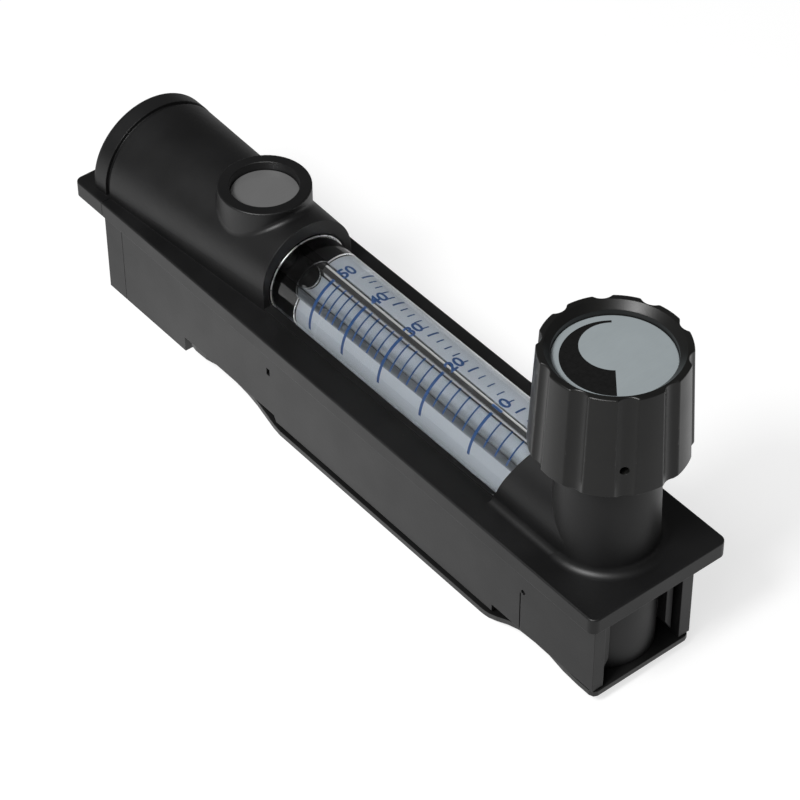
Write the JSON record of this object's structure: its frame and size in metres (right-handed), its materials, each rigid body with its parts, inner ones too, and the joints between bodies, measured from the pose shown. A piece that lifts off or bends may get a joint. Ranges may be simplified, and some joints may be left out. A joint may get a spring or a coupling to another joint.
{
  "type": "panel rotameter",
  "caption": "Black panel-mount rotameter with a half-round dome, a clear scaled metering tube, and a fluted flow-control knob on a round neck.",
  "frame": {"origin": "middle of the rear plane that the foot and the rear plate lie on, under the middle of the flange", "axes": "+Z out of the front, +Y along the tube towards the outlet end, +X to the right seen from the front"},
  "size_m": [0.032, 0.1574, 0.073],
  "materials": {
    "body_plastic": "fine matt moulded black",
    "plate_plastic": "satin moulded black",
    "tube_glass": "clear polished",
    "backing_white": "smooth white",
    "stop_plastic": "natural white",
    "float_steel": "polished ball",
    "seal_rubber": "amber elastomer",
    "plug_plastic": "turned black plastic",
    "port_brass": "machined",
    "stem_steel": "turned stainless",
    "knob_plastic": "satin moulded black",
    "dial_silver": "fine satin silver",
    "screw_steel": "darkened steel",
    "badge_silver": "satin grey silver"
  },
  "bodies": {
    "housing": {"meter_body": "body_plastic", "top_end_cap": "body_plastic", "rear_plate": "plate_plastic", "metering_tube": "tube_glass", "scale_backing": "backing_white", "float_stop_lower": "stop_plastic", "float_stop_upper": "stop_plastic", "tube_seal_lower": "seal_rubber", "tube_seal_upper": "seal_rubber", "outlet_plug": "plug_plastic", "plug_seal_inner": "seal_rubber", "plug_seal_outer": "seal_rubber", "inlet_port": "port_brass", "outlet_port": "port_brass", "valve_seat": "stop_plastic", "valve_bushing": "port_brass", "stem_seal": "seal_rubber", "gland_nut": "port_brass", "badge_disc": "badge_silver", "plate_screw_near": "screw_steel", "plate_screw_far": "screw_steel", "cap_screw_left": "screw_steel", "cap_screw_right": "screw_steel"},
    "knob_set": {"knob": "knob_plastic", "knob_dial": "dial_silver", "knob_set_screw": "screw_steel", "valve_stem": "stem_steel"},
    "needle": {"valve_needle": "stem_steel"},
    "float": {"float_ball": "float_steel"}
  },
  "joints": [
    {"name": "knob_turn", "type": "hinge", "parent": "housing", "child": "knob_set", "pos_m": [0, -0.0638, 0.06], "axis": [0, 0, 1], "range_deg": [0, 1440]},
    {"name": "needle_travel", "type": "slide", "parent": "housing", "child": "needle", "axis": [0, 0, 1], "range_m": [0, 0.00301]},
    {"name": "float_rise", "type": "slide", "parent": "housing", "child": "float", "axis": [0, 1, 0], "range_m": [0, 0.0772]}
  ],
  "couplings": [
    {"joint": "needle_travel", "follows": "knob_turn", "m_per_rad": 0.00011937}
  ]
}
